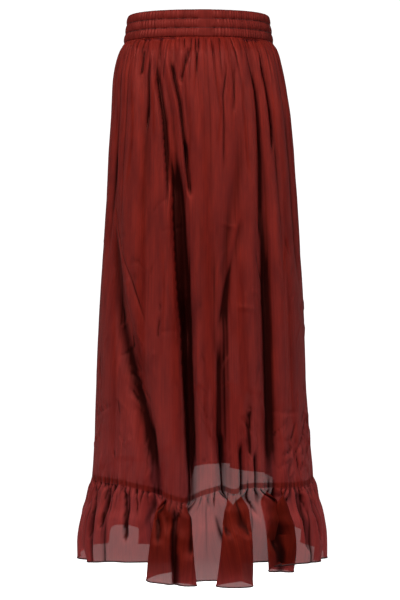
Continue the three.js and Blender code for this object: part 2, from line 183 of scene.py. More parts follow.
# Creases laid on the ruffle, given like those of the body
RUFFLE_CREASES = rows_of(
    "place depth left right path",
    ("left flute, first", 5, 2.4, 3, [(-18.6, -800), (-18, -840), (-17.6, -880)]),
    ("left flute, middle", 13, 3, 7, [(-13.6, -806), (-13.4, -870), (-12.6, -945), (-12.4, -975)]),
    ("left flute, last", 8, 3, 3, [(-9.4, -812), (-9.6, -860), (-9.2, -905)]),
    ("right flute, first", 5, 2.2, 2.6, [(14.8, -792), (14, -830), (13.6, -870)]),
    ("right flute, middle", 5, 2.2, 2.6, [(16.6, -794), (16, -830), (15.6, -860)]),
    ("right flute, last", 6, 3, 3, [(18, -794), (17.2, -836), (16.6, -870)]),
    ("outer flute, in shadow", 15, 13, 12, [(39, -770), (40, -860), (41, -960)]),
    ("outer flute, line", 6, 3, 3, [(37.6, -790), (38, -850), (38.6, -900)]),
    ("right, first", 10, 4, 8, [(53, -788), (55, -850), (56, -905)]),
    ("right, second", 8, 3, 5, [(62, -788), (63.5, -840), (66, -890)]),
    ("right, third", 7, 3, 5, [(74, -786), (75, -835), (78, -870)]),
    ("left of the flutes", 10, 8, 4, [(-28, -790), (-27, -850), (-26, -915)]),
    ("left, first", 8, 3, 5, [(-39, -784), (-37, -830), (-35, -880)]),
    ("left, second", 8, 3, 5, [(-50, -783), (-50.5, -820), (-52, -862)]),
    ("left, third", 8, 3, 5, [(-62, -783), (-60, -840), (-60, -880)]),
    ("left, fourth", 9, 5, 4, [(-74, -784), (-76, -850), (-78, -910)]),
    ("front, first", 9, 4, 6, [(112, -762), (113, -820), (114, -880)]),
    ("front, second", 9, 4, 5, [(142, -664), (142.5, -720), (142, -780)]),
    ("front, third", 9, 3, 6, [(163, -634), (163, -700), (164, -750)]),
    ("front, fourth", 7, 3, 4, [(178, -634), (178, -680), (177, -730)]),
    ("front, fifth", 9, 6, 3, [(205, -758), (205, -820), (206, -900)]),
    ("front, sixth", 8, 4, 5, [(224, -766), (224, -820), (225, -870)]),
    ("front, seventh", 9, 6, 4, [(246, -776), (247, -840), (248, -900)]),
)
# The share of a crease that tapers at each end, the half widths beyond which it is too faint to count,
# the share of the ruffle's height down to which the body's creases carry on, and the one by which its own
# are full
CREASE_TAPER = 0.22
CREASE_REACH = 3
CARRIED_ON = 0.4
CREASED_BY = 0.12
ARC_PER_DEGREE = 2.9

# Soft waves round the skirt: how many go round, their height, their share at the seam that they hang
# from, how far down their piece they are full and have faded, and how unevenly they are spaced
WAVES = "count height at_seam full faded wander"
WAIST_WAVES = rows_of(
    WAVES,
    (76, 1.3, 0.7, 0.01, 0.06, 3.0),
    (37, 1.2, 0.2, 0.05, 0.2, 2.2),
    (19, 2.2, 0.0, 0.1, 0.62, 1.6),
)
RUFFLE_WAVES = rows_of(
    WAVES,
    (112, 1.1, 0.5, 0.06, 0.3, 3.0),
    (58, 1.7, 0.0, 0.16, 0.85, 2.4),
    (21, 4.5, 0.0, 0.66, 3.0, 1.4),
)
RIDGE_FULLNESS = 0.75
# How unevenly far the waves reach and how uneven their height is, how many swings of each go round, and
# the least reach as a multiple of the place where they are full
REACH_SWING = 0.45
REACH_SWINGS = 11
HEIGHT_SWING = 0.25
HEIGHT_SWINGS = 5
LEAST_REACH = 1.4
# Slow swings that keep gathers from being evenly spaced: how many go round, their weight and their shift
WANDER = rows_of("count weight shift", (3, 1, 1), (7, 0.6, 2.3), (13, 0.4, 4.1))

# Pinched gathers that hang from a seam, of uneven length, depth and lean. The rarer, the fewer are long.
WAIST_GATHERS = {
    "count": 118, "longest": 165.0, "shortest": 12.0, "deepest": 5.6, "wide": 1.5, "lean": 0.2, "rarity": 3.2,
}
RUFFLE_GATHERS = {
    "count": 168, "longest": 90.0, "shortest": 16.0, "deepest": 8.5, "wide": 1.9, "lean": 0.3, "rarity": 1.3,
}
# How they vary: shifts along the seam, shares of the depth, the least share of a short one and what
# length adds to it, shares of the width, how each starts, fades and widens down its length, and the half
# widths beyond which it is too faint to count
GATHER_SHIFT = 0.45
GATHER_DEPTHS = (0.45, 1)
DEPTH_WHEN_SHORT = 0.55
DEPTH_FROM_LENGTH = 0.45
GATHER_WIDTHS = (0.75, 1.35)
GATHER_START = (-0.06, 0.1)
GATHER_FADE = 1.2
GATHER_WIDENING = 0.9
GATHER_REACH = 4

# Small sharp wrinkles scattered over the body, more of them towards the hem. The spreads are shares of
# the longest, deepest and widest, the heading is in radians from upright, and the bend is a share of the
# length. One side of each is slacker than the other.
WRINKLES = {
    "count": 190, "highest": -300, "lowest": -778, "crowding": 0.7, "longest": 52, "lengths": (0.3, 1),
    "deepest": 1.7, "depths": (0.35, 1), "wide": 2.1, "widths": (0.8, 1.5), "heading": 0.75, "bend": 0.12,
}
SLACKER_SIDE = 1.4

# Places where the cloth was crushed: the middle and the reach of each as bearings and heights, its
# wrinkles and which way they run, in degrees from upright
CRUSHED = rows_of(
    "place middle reach count longest deepest heading",
    ("left, above the flutes", (-36, -630), (8, 60), 26, 46, 1.2, 52),
    ("right of the left flute", (0, -650), (5, 70), 14, 34, 1.2, 20),
    ("right side, low", (54, -735), (9, 34), 26, 44, 2.2, -40),
    ("far right, low", (70, -700), (6, 50), 16, 50, 2.2, 40),
    ("left side, low", (-66, -680), (9, 60), 16, 50, 1.6, 60),
    ("right of the middle", (24, -690), (5, 44), 12, 34, 1.1, 15),
    ("front, left", (232, -600), (9, 60), 26, 46, 1.9, -48),
    ("front, right", (124, -640), (9, 46), 22, 44, 2.0, 42),
)
# How its wrinkles vary: how far they scatter within the reach, how far they turn from their way in
# radians, and the spreads of their length and depth. Two in three go in. Last come their half widths.
CRUSHED_SCATTER = 0.6
CRUSHED_TURN = 0.35
CRUSHED_LENGTHS = (0.35, 1)
CRUSHED_DEPTHS = (0.4, 1)
CRUSHED_SIGNS = [-1, 1, 1]
CRUSHED_WIDTHS = (2.0, 3.4)

# Folds in which the ruffle doubles back on itself: where each starts at the seam and at the hem, how far
# its outer layer reaches over the fold and its inner layer is tucked under, its half width, how far the
# outer layer stands out and the inner one is sunk, and which side lies outermost (1 right, -1 left)
OVERLAPS = rows_of(
    "place bearing over under wide step sunk front",
    ("left edge of the left flute", [-21, -22.6], 20, 35, 11.5, 6, 6, 1),
    ("right edge of the left flute", [-8, -5.2], 20, 36, 11.5, 6, 15, -1),
    ("left edge of the right flute", [13, 7], 20, 31, 11, 6, 6, 1),
    ("right edge of the right flute", [20.5, 18.8], 20, 31, 11, 6, 15, -1),
    ("left edge of the outer flute", [35, 33.5], 18, 36, 11, 5, 5, 1),
    ("right edge of the outer flute", [43.5, 47.5], 18, 36, 11, 5, 12, -1),
    ("front, left edge of the first flute", [137, 138], 14, 24, 9.5, 5, 5, 1),
    ("front, right edge of the first flute", [147, 146.5], 14, 22, 9, 5, 10, -1),
    ("front, left edge of the second flute", [159, 158], 15, 25, 9.5, 5, 6, 1),
    ("front, right edge of the second flute", [167.5, 168], 14, 23, 9, 5, 11, -1),
    ("front, left edge of the third flute", [200, 201], 14, 24, 9.5, 5, 5, 1),
    ("front, right edge of the third flute", [210, 209.5], 15, 24, 9.5, 5, 12, -1),
)
OVERLAP_PEAK = math.sqrt(2 * math.e)
# They grow by one share soon below the seam and by the rest evenly. The step from layer to layer is this
# steep and has this reach, in half widths.
SOON_GROWN = 0.62
SOON = 0.2
SLOWLY_GROWN = 0.38
STEP_STEEPNESS = 1.5
STEP_REACH = 2.4

# Small unevenness of the cloth: the size of its patches round and down, and its height. It sets in over
# the first millimetres below the band.
RUMPLES = rows_of(
    "round_mm down_mm height",
    (46, 150, 1.6), (17, 46, 0.45), (7, 16, 0.14),
)
RUMPLED_BELOW = 40

# The top of the body's cloth, from the height of the waistband and the gap at its seam
BAND_HEIGHT = 48.0
SEAM_GAP = 0.3
BODY_TOP = -BAND_HEIGHT / 2 - SEAM_GAP

# What the cloth does near its seams: the share of the body's length over which it takes on the ruffle's
# gathers, the millimetres above that seam between which small wrinkles set in, and those below the band
# along which the folds are held in by it
PUCKER_REACH = 0.03
WRINKLED_ABOVE = (-2, -30)
HELD_BY_BAND = 3.6

# The seam turnings have this many rows and lie this far inside the cloth, and the rolled hem is this
# share of its height thick
TURNING_ROWS = 4
TURNED_IN = 0.7
HEM_FLATNESS = 0.65

# The bearing at which each side of the skirt starts, how many points its cloth has round and down, how
# closely their rows crowd towards the seam above, and in how many steps to a point they are evenly spaced
SIDES = {"back": -90.0, "front": 90.0}
BODY_COLUMNS = 440
BODY_ROWS = 224
BODY_CROWDING = 1.25
RUFFLE_COLUMNS = 480
RUFFLE_ROWS = 84
RUFFLE_CROWDING = 1.15
EVEN_STEPS = 6

# How shade is painted into the folds: the reach to either side over which a place counts as hollow,
# the depth at which it is darkest, its share then, the heights between which this sets in, and how far it
# also closes the sheer cloth there and darkens its glow with painted shade
HOLLOWS = "reach deepest most from full closes"
CLOTH_HOLLOWS = rows_of(
    HOLLOWS,
    (3.0, 1.6, 0.8, 0, -1, 1.0),
    (11.0, 7.5, 0.7, 0, -80, 0.6),
    (22.0, 15.0, 0.55, -90, -260, 0.0),
    (48.0, 27.0, 0.55, -300, -520, 0.0),
)
RUFFLE_HOLLOWS = rows_of(
    HOLLOWS,
    (3.0, 0.8, 0.8, 0, -1, 1.0),
    (11.0, 3.4, 0.8, 0, -80, 0.5),
    (22.0, 6.0, 0.6, -90, -220, 0.15),
)
BAND_HOLLOWS = rows_of(
    HOLLOWS,
    (3.0, 1.0, 1.0, 60, 50, 0.0),
)
# The radius of the plain form round which folds are measured, how much darker the painted shade makes the
# deepest and how quickly, and the heights between which every hollow comes to close the cloth
PLAIN_RADIUS = 170.0
HOLLOW_SHADE = 0.93
HOLLOW_SHARPNESS = 1.25
SHUT_FROM = {"low": -770.0, "high": -715.0}

# The waistband: its form, its three elastic channels and the plain join at the centre back
BAND_FORM = {"top_width": 124.5, "top_depth": 90.0, "bottom_width": 132.0, "bottom_depth": 96.0}
BAND_THICKNESS = 3.2
CHANNELS = 3
STITCH_DEPTH = 1.9
BAND_GATHERS = 152
BAND_COLUMNS = 1064
BAND_ROWS = 37
# The metres over which its weave is laid out, round it, and down its face and up its inside
BAND_PATTERN = {"round": 1.1, "down_and_up": 0.1}
# How far the body's top edge is tucked up inside the band, and the join, where the shirring stops
TUCK = {"inward": 3.6, "up": 2.0}
JOIN = {"bearing": 5.2, "half_width": 9.5, "blend": 5.0}

# The face of the band: how round its puffs are, the share of the stitches' depth at the join and what
# shirring adds to it, how far in it lies, and how much further its edges do
PUFF_ROUNDNESS = 0.6
STITCHED_PLAIN = 0.35
STITCHED_MORE = 0.65
FACE_INSET = 0.8
FACE_EDGE = 1.1
# Its shirring: the least height and what the swings round the band add to it, how it wanders, and how it
# shifts from channel to channel and leans down them. Then the softer gathers between, and those of the
# inside.
SHIRRING = {
    "least": 0.32, "more": 0.25, "swings": 9, "wander": 3.2, "shift": 0.5, "lean": 0.9, "leans": 2.2,
}
SOFT_SHIRRING = {"count": 47, "height": 0.3, "wander": 2.0}
INSIDE = {"count": 64, "height": 0.35, "wander": 2, "behind": 2.4, "edge": 0.3}

# The band's stitches: each is this share of its pitch, which is so many stitch lengths. It is sunk at
# both ends and stands out in the middle, in half widths of the thread.
STITCH_SHARE = 0.78
STITCH_PITCH = 1.25
STITCH_SUNK = 0.3
STITCH_RAISED = 0.9

# The weave of the silk in metres: the pitch of its threads, the height of the weave and of the slubs, and
# how strongly both show
THREAD_PITCH = 0.0006
SILK_WEAVE = 0.00006
BAND_WEAVE = 0.00008
SLUB_HEIGHT = 0.0006
WEAVE_STRENGTH = 0.35
SLUB_STRENGTH = 0.5
# Slubs are streaks of two sizes, and the cloth has their colour where both together pass from low to high
SLUB_STREAKS = rows_of(
    "stretch detail roughness",
    ((520.0, 9.0, 1.0), 4.0, 0.65),
    ((70.0, 14.0, 1.0), 3.0, 0.6),
)
SLUBS_SHOW = {"low": 0.14, "high": 0.38}

# The twist of sewing thread, and the darkest and palest shade of the thread and of the band
TWIST = {"scale": 1400.0, "detail": 2.0, "strength": 0.4, "height": 0.0002}
THREAD_SHADES = (1.0, 1.8)
BAND_SHADES = (0.72, 1.35)

# Finishes, and the share of the light from behind that the silk glows with
SILK_FINISH = {
    "Roughness": 0.46, "Specular IOR Level": 0.35, "Specular Tint": (1.0, 0.16, 0.12, 1),
    "Sheen Weight": 0.03, "Sheen Roughness": 0.4, "Sheen Tint": (1.0, 0.32, 0.26, 1),
}
BAND_FINISH = {
    "Roughness": 0.5, "Specular IOR Level": 0.5, "Specular Tint": (1.0, 0.18, 0.14, 1),
    "Sheen Weight": 0.06, "Sheen Roughness": 0.4, "Sheen Tint": (1.0, 0.36, 0.3, 1),
}
FLOOR_FINISH = {
    "Roughness": 0.9, "Specular IOR Level": 0.1, "Emission Color": (1, 1, 1, 1), "Emission Strength": 1.0,
}
GLOW_SHARE = 0.17

# Camera and picture, in metres: the plane of the side seams is this far from the camera
CAMERA_DISTANCE = 3.4
CAMERA_HEIGHT = -0.472
CAMERA_SIDE = 0.0026
FRAME_HEIGHT = 1.05
SENSOR = 36.0

# Lights, in metres and watts, and the strength of the even pale surround
LIGHTS = rows_of(
    "name at size power gloss",
    ("key", (-0.95, -1.65, 1.45), 0.5, 56.0, True),
    ("fill", (1.8, -1.65, 1.1), 1.0, 28.0, True),
    ("behind", (0.6, 2.6, 0.3), 2.2, 56.0, False),
)
SURROUND = 0.11


class SkirtSizes(bpy.types.PropertyGroup):
    """Sizes of the finished cloth that a maker would change"""

    fold_strength: FloatProperty(
        name="Fold strength", description="Depth of the large folds", default=1.0, min=0,
    )
    crease_strength: FloatProperty(
        name="Crease strength", description="Depth of the creases", default=1.0, min=0,
    )
    gather_strength: FloatProperty(
        name="Gather strength", description="Height of the gathers", default=1.0, min=0,
    )
    rumple_strength: FloatProperty(
        name="Rumple strength", description="Height of small unevenness", default=1.0,
    )
    hem_roll: FloatProperty(
        name="Hem roll", description="Thickness of the rolled hem", default=0.0026, unit="LENGTH",
    )
    turning: FloatProperty(
        name="Turning", description="Height of the pressed seam turnings", default=0.0085, unit="LENGTH",
    )
    stitch_length: FloatProperty(
        name="Stitch length", description="Length of a machine stitch", default=0.0026, unit="LENGTH",
    )
    thread_width: FloatProperty(
        name="Thread width", description="Width of the sewing thread", default=0.0007, unit="LENGTH",
    )
    seed: IntProperty(name="Seed", description="Picks the small unevenness of the cloth", default=7)


class SkirtColours(bpy.types.PropertyGroup):
    """Colours and finishes"""

    silk: FloatVectorProperty(
        name="Silk", description="Colour of one layer of the cloth", subtype="COLOR", size=3,
        default=(0.079, 0.0050, 0.0019), min=0, max=1,
    )
    silk_slub: FloatVectorProperty(
        name="Slub", description="Colour of the paler threads", subtype="COLOR", size=3,
        default=(0.208, 0.0150, 0.0066), min=0, max=1,
    )
    band: FloatVectorProperty(
        name="Waistband", description="Colour of the waistband", subtype="COLOR", size=3,
        default=(0.120, 0.0095, 0.0070), min=0, max=1,
    )
    glow: FloatVectorProperty(
        name="Glow", description="Colour of the cloth when it is lit from behind", subtype="COLOR", size=3,
        default=(0.78, 0.12, 0.13), min=0, max=1,
    )
    thread: FloatVectorProperty(
        name="Thread", description="Colour of thread and rolled edges", subtype="COLOR", size=3,
        default=(0.040, 0.006, 0.006), min=0, max=1,
    )
    floor: FloatVectorProperty(
        name="Floor", description="Colour of the floor and backdrop", subtype="COLOR", size=3,
        default=(0.93, 0.93, 0.93), min=0, max=1,
    )
    turning_cover: FloatProperty(
        name="Cover of turnings", description="Share of the light that the turnings stop", default=0.72,
        subtype="FACTOR", min=0, max=1,
    )
    cover: FloatProperty(
        name="Cover", description="Share of the light that one layer of cloth stops", default=0.932,
        subtype="FACTOR", min=0, max=1,
    )


def column(table, key):
    """One column of a table as an array."""
    return np.array([row[key] for row in table], float)


def glide(at, places, values):
    """Values at any place between the given ones, on a smooth curve that never passes beyond them."""
    places = np.asarray(places, float)
    values = np.asarray(values, float)
    steps = np.diff(places)
    slopes = np.diff(values) / steps
    same_way = slopes[:-1] * slopes[1:] > 0
    together = np.where(same_way, slopes[:-1] + slopes[1:], 1.0)
    inner = np.where(same_way, 2 * slopes[:-1] * slopes[1:] / together, 0.0)
    tangents = np.concatenate([[slopes[0]], inner, [slopes[-1]]])
    at = np.clip(at, places[0], places[-1])
    k = np.clip(np.searchsorted(places, at, side="right") - 1, 0, len(steps) - 1)
    t = (at - places[k]) / steps[k]
    start = (1 + 2 * t) * (1 - t) ** 2 * values[k] + t * (1 - t) ** 2 * steps[k] * tangents[k]
    end = t * t * (3 - 2 * t) * values[k + 1] + t * t * (t - 1) * steps[k] * tangents[k + 1]
    return start + end


def ease(at, low, high):
    """A smooth rise from 0 at low to 1 at high."""
    t = np.clip((at - low) / (high - low), 0, 1)
    return t * t * (3 - 2 * t)


def turn(start, end):
    """Degrees from one bearing to another, the short way round."""
    return (end - start + 180) % 360 - 180


def section(z, key):
    """A size of the smooth form at a height."""
    return glide(-z, -column(SECTIONS, "z"), column(SECTIONS, key))


def line_height(key, bearing):
    """The height of the ruffle's seam or hem, with the corners of its table rounded off."""
    bearings = column(HEM_LINE, "bearing")
    heights = column(HEM_LINE, key)
    total = 0.0
    for nudge, weight in CORNER_ROUNDING:
        total = total + weight * np.interp((bearing + nudge + 90) % 360 - 90, bearings, heights)
    return total


def rumple(bearing, down_mm, patch, seed):
    """Smooth random unevenness that closes on itself round the skirt."""
    around = max(4, round(360 * ARC_PER_DEGREE / patch["round_mm"]))
    rows = int(np.max(down_mm) / patch["down_mm"]) + 3
    knots = np.random.default_rng(seed).uniform(-1, 1, (rows, around))
    u = (bearing % 360) / 360 * around
    v = np.clip(down_mm / patch["down_mm"], 0, rows - 2)
    i, j = np.floor(u).astype(int) % around, np.floor(v).astype(int)
    s, t = ease(u - np.floor(u), 0, 1), ease(v - np.floor(v), 0, 1)
    i2, j2 = (i + 1) % around, j + 1
    top = knots[j, i] * (1 - s) + knots[j, i2] * s
    bottom = knots[j2, i] * (1 - s) + knots[j2, i2] * s
    return patch["height"] * (top * (1 - t) + bottom * t)


def wander(bearing, seed):
    """A slow wander round the skirt that keeps gathers from being evenly spaced."""
    return sum(
        swing["weight"] * np.sin(swing["count"] * np.radians(bearing) + swing["shift"] * seed)
        for swing in WANDER
    )


def ripples(waves, bearing, down, strength):
    """The gathers that leave a seam, each fading at its own length."""
    a = np.radians(bearing)
    total = 0.0
    # The shifts by k only keep one kind of wave from swinging in time with the next
    for k, wave in enumerate(waves):
        swing = np.sin(REACH_SWINGS * a + 5 * k + 2 * wander(bearing, k + 3))
        reach = np.maximum(wave["faded"] * (1 + REACH_SWING * swing), LEAST_REACH * wave["full"])
        rise = wave["at_seam"] + (1 - wave["at_seam"]) * ease(down, 0, wave["full"])
        share = rise * (1 - ease(down, wave["full"], reach))
        phase = wave["count"] * a + wave["wander"] * wander(bearing, k + 1)
        uneven = 1 - HEIGHT_SWING + HEIGHT_SWING * np.sin(HEIGHT_SWINGS * a + k)
        ridge = 2 * np.abs(np.cos(phase / 2)) ** RIDGE_FULLNESS - 1
        total = total + strength * wave["height"] * share * uneven * ridge
    return total


def crease_depth(bearing, z, creases=CREASES):
    """How far the listed creases press the cloth in at each point."""
    total = np.zeros(np.broadcast(bearing, z).shape)
    for crease in creases:
        widths = crease["left"], crease["right"]
        total += one_crease(bearing + 0 * total, z + 0 * total, crease["path"], crease["depth"], *widths)
    return total


def one_crease(bearing, z, path, depth, left, right):
    """How far one crease presses the cloth in: full along the middle of its path, and fading at both ends."""
    path = np.array(path, float)
    reach = CREASE_REACH * max(left, right)
    pressed = np.zeros(bearing.shape)
    middle = path[:, 0].mean()
    spread = np.abs(path[:, 0] - middle).max() + reach / ARC_PER_DEGREE
    level = (z < path[:, 1].max() + reach) & (z > path[:, 1].min() - reach)
    near = level & (np.abs(turn(middle, bearing)) < spread)
    at_bearing, at_z = bearing[near], z[near]
    legs = np.diff(path, axis=0) * (ARC_PER_DEGREE, 1)
    lengths = np.hypot(legs[:, 0], legs[:, 1])
    nearest = np.full(at_z.shape, np.inf)
    across = np.zeros(at_z.shape)
    along = np.zeros(at_z.shape)
    gone = 0.0
    for start, leg, length in zip(path, legs, lengths):
        off_x = turn(start[0], at_bearing) * ARC_PER_DEGREE
        off_z = at_z - start[1]
        share = np.clip((off_x * leg[0] + off_z * leg[1]) / length**2, 0, 1)
        away = np.hypot(off_x - share * leg[0], off_z - share * leg[1])
        side = np.sign(off_z * leg[0] - off_x * leg[1])
        closer = away < nearest
        nearest = np.where(closer, away, nearest)
        across = np.where(closer, side, across)
        along = np.where(closer, gone + share * length, along)
        gone += length
    t = along / gone
    taper = ease(t, 0, CREASE_TAPER) * (1 - ease(t, 1 - CREASE_TAPER, 1))
    r = (nearest / np.where(across < 0, left, right)) ** 2
    pressed[near] = depth * taper * np.exp(-r)
    return pressed


def pinched_gathers(bearing, below, seed, count, longest, shortest, deepest, wide, lean, rarity):
    """How far the gathers that hang from a seam press the cloth in, below millimetres under that seam."""
    rng = np.random.default_rng(seed)
    total = np.zeros(bearing.shape)
    for k in range(count):
        at = 360 * (k + rng.uniform(-GATHER_SHIFT, GATHER_SHIFT)) / count
        length = shortest + (longest - shortest) * rng.uniform(0, 1) ** rarity
        fullness = DEPTH_WHEN_SHORT + DEPTH_FROM_LENGTH * length / longest
        depth = deepest * rng.uniform(*GATHER_DEPTHS) * fullness
        slant = rng.uniform(-lean, lean)
        width = wide * rng.uniform(*GATHER_WIDTHS)
        reach = (GATHER_REACH * width + abs(slant) * length) / ARC_PER_DEGREE
        near = (below < length) & (np.abs(turn(at, bearing)) < reach)
        t = below[near] / length
        off = turn(at, bearing[near]) * ARC_PER_DEGREE - slant * below[near]
        share = ease(t, *GATHER_START) * (1 - t) ** GATHER_FADE
        total[near] += depth * share * np.exp(-((off / (width * (1 + GATHER_WIDENING * t))) ** 2))
    return total


def wrinkle_ends(at, height, heading, length):
    """Both ends of a short wrinkle round a place, as (bearing, height) points."""
    run = 0.5 * length * math.sin(heading) / ARC_PER_DEGREE
    drop = 0.5 * length * math.cos(heading)
    return (at - run, height + drop), (at + run, height - drop)


def small_wrinkles(bearing, z, spread, seed):
    """Short sharp wrinkles of many directions, where soft cloth has been crushed."""
    rng = np.random.default_rng(seed)
    total = np.zeros(bearing.shape)
    for _ in range(spread["count"]):
        at = rng.uniform(0, 360)
        fall = (spread["lowest"] - spread["highest"]) * rng.uniform(0, 1) ** spread["crowding"]
        height = spread["highest"] + fall
        length = spread["longest"] * rng.uniform(*spread["lengths"])
        start, end = wrinkle_ends(at, height, rng.normal(0, spread["heading"]), length)
        bend = rng.uniform(-spread["bend"], spread["bend"]) * length / ARC_PER_DEGREE
        depth = spread["deepest"] * rng.uniform(*spread["depths"]) * rng.choice([-1, 1])
        width = spread["wide"] * rng.uniform(*spread["widths"])
        path = [start, (at + bend, height), end]
        total += one_crease(bearing, z, path, depth, width, SLACKER_SIDE * width)
    return total


def crushed_places(bearing, z, seed):
    """The short wrinkles of the places where the cloth was crushed, which mostly run one way in each."""
    total = np.zeros(bearing.shape)
    for k, spot in enumerate(CRUSHED):
        rng = np.random.default_rng(seed + k)
        for _ in range(spot["count"]):
            at = spot["middle"][0] + spot["reach"][0] * rng.normal(0, CRUSHED_SCATTER)
            height = spot["middle"][1] + spot["reach"][1] * rng.normal(0, CRUSHED_SCATTER)
            heading = math.radians(spot["heading"]) + rng.normal(0, CRUSHED_TURN)
            length = spot["longest"] * rng.uniform(*CRUSHED_LENGTHS)
            depth = spot["deepest"] * rng.uniform(*CRUSHED_DEPTHS) * rng.choice(CRUSHED_SIGNS)
            total += one_crease(bearing, z, wrinkle_ends(at, height, heading, length), depth, *CRUSHED_WIDTHS)
    return total


def gathered_ruffle(bearing, down, below, sizes):
    """The relief of the ruffle's gathers, at a share of its depth and at millimetres below its seam."""
    waves = ripples(RUFFLE_WAVES, bearing, down, sizes.gather_strength)
    return waves - sizes.gather_strength * pinched_gathers(bearing, below, sizes.seed + 5, **RUFFLE_GATHERS)


def body_relief(bearing, place, z, seam, sizes):
    """How far the body's gathers, creases and wrinkles stand out from its plain form."""
    out = ripples(WAIST_WAVES, bearing, place, sizes.gather_strength)
    out = out - sizes.gather_strength * pinched_gathers(bearing, BODY_TOP - z, sizes.seed, **WAIST_GATHERS)
    pucker = gathered_ruffle(bearing, 0 * place, 0 * place, sizes)
    out = out + pucker * ease(place, 1 - PUCKER_REACH, 1)
    out = out - sizes.crease_strength * crease_depth(bearing, z)
    crushed = small_wrinkles(bearing, z, WRINKLES, sizes.seed) + crushed_places(bearing, z, sizes.seed)
    return out - sizes.crease_strength * ease(seam - z, *WRINKLED_ABOVE) * crushed


def ruffle_relief(bearing, down, z, seam, sizes):
    """How far the ruffle's gathers and creases stand out from its plain form."""
    out = gathered_ruffle(bearing, down, seam - z, sizes)
    out = out - sizes.crease_strength * crease_depth(bearing, seam) * (1 - ease(down, 0, CARRIED_ON))
    own = crease_depth(bearing, z, RUFFLE_CREASES)
    return out - sizes.crease_strength * own * ease(down, 0, CREASED_BY)


def press_troughs(out, bearing, place, per_degree, strength):
    """Presses the large folds in. Down the ruffle their floors also slide aside."""
    aside = 0.0
    for trough in TROUGHS:
        off = turn(glide(place, STATIONS, trough["bearing"]), bearing) * per_degree
        share = np.exp(-((off / glide(place, STATIONS, trough["wide"])) ** 2))
        out = out - strength * glide(place, STATIONS, trough["depth"]) * share
        aside = aside + trough["slide"] * ease(place - 1, 0, 1) * share
    return out, aside


def double_back(out, aside, bearing, down, per_degree):
    """Lays the ruffle back over itself at the edges of its flutes."""
    grown = SOON_GROWN * ease(down, 0, SOON) + SLOWLY_GROWN * down
    for fold in OVERLAPS:
        middle = fold["bearing"][0] + (fold["bearing"][1] - fold["bearing"][0]) * down
        u = turn(middle, bearing) * per_degree / fold["wide"]
        outermost = fold["front"] * u > 0
        reach = np.where(outermost, fold["over"], fold["under"])
        aside = aside - reach * grown * OVERLAP_PEAK * u * np.exp(-(u**2))
        lift = np.where(outermost, fold["step"], fold["sunk"]) * fold["front"]
        out = out + lift * grown * np.tanh(STEP_STEEPNESS * u) * np.exp(-((u / STEP_REACH) ** 2))
    return out, aside


def oval(bearing, wide, deep):
    """Places round a slightly squared oval."""
    a = np.radians(bearing)
    corner = 1 + SQUARENESS * np.sin(2 * a) ** 2
    return wide * np.sin(a) * corner, -deep * np.cos(a) * corner


def cloth_points(bearing, place, part, sizes):
    """Points of the cloth in millimetres. place is 0 at the waist, 1 at the ruffle's seam, 2 at its hem."""
    in_ruffle = part == "ruffle"
    down = place - 1
    seam = line_height("seam", bearing)
    if in_ruffle:
        z = seam + (line_height("hem", bearing) - seam) * down
        flare = glide(down, column(FLARE, "down"), column(FLARE, "out"))
        out = ruffle_relief(bearing, down, z, seam, sizes)
    else:
        z = BODY_TOP + (seam - BODY_TOP) * place
        flare = 0.0
        out = body_relief(bearing, place, z, seam, sizes)
    wide = section(z, "half_width") + flare
    deep = section(z, "half_depth") + flare
    x, y = oval(bearing, wide, deep)
    a = np.radians(bearing)
    across = np.stack([wide * np.cos(a), deep * np.sin(a)])
    per_degree = np.hypot(*across) * math.pi / 180
    across = across / np.hypot(*across)
    outward = np.stack([across[1], -across[0]])
    settle = ease(BODY_TOP - z, 0, RUMPLED_BELOW)
    for k, patch in enumerate(RUMPLES):
        out = out + sizes.rumple_strength * settle * rumple(bearing, BODY_TOP - z, patch, sizes.seed + k)
    out, aside = press_troughs(out, bearing, place, per_degree, sizes.fold_strength)
    out = out * ease(BODY_TOP - z, -1, HELD_BY_BAND)
    if in_ruffle:
        out, aside = double_back(out, aside, bearing, down, per_degree)
    return np.stack([
        section(z, "centre_x") + x + outward[0] * out + across[0] * aside,
        section(z, "centre_y") + y + outward[1] * out + across[1] * aside,
        z + 0 * x,
    ], axis=-1)


def grid_faces(rows, columns, round_columns=False, round_rows=False):
    """Quads of a grid that may close on itself, facing outwards when bearings rise along a row."""
    all_rows = np.arange(rows if round_rows else rows - 1)
    all_columns = np.arange(columns if round_columns else columns - 1)
    r, c = np.meshgrid(all_rows, all_columns, indexing="ij")
    below, right = (r + 1) % rows, (c + 1) % columns
    corners = [r * columns + c, below * columns + c, below * columns + right, r * columns + right]
    return np.stack(corners, axis=-1).reshape(-1, 4)


def mesh_piece(name, points, faces, flat_places=None):
    """A new object from points in millimetres, with its place on the flat cloth as its UV map."""
    mesh = bpy.data.meshes.new(name)
    faces = faces.tolist() if isinstance(faces, np.ndarray) else faces
    mesh.from_pydata((np.asarray(points).reshape(-1, 3) * MM).tolist(), [], faces)
    mesh.polygons.foreach_set("use_smooth", np.ones(len(mesh.polygons), bool))
    if flat_places is not None:
        corners = np.empty(len(mesh.loops), int)
        mesh.loops.foreach_get("vertex_index", corners)
        layer = mesh.uv_layers.new(name="cloth")
        layer.data.foreach_set("uv", np.asarray(flat_places).reshape(-1, 2)[corners].ravel())
    mesh.update()
    piece = bpy.data.objects.new(name, mesh)
    bpy.context.collection.objects.link(piece)
    return piece


def sunk_below(points, steps, axis):
    """How far each point of a grid lies inside the middle of its neighbours some steps to either side."""
    places = np.arange(points.shape[axis])
    before = np.take(points, np.clip(places - steps, 0, places[-1]), axis)
    after = np.take(points, np.clip(places + steps, 0, places[-1]), axis)
    outward = points * (1, 1, 0)
    outward /= np.linalg.norm(outward, axis=-1)[..., None]
    return (((before + after) / 2 - points) * outward).sum(axis=-1)


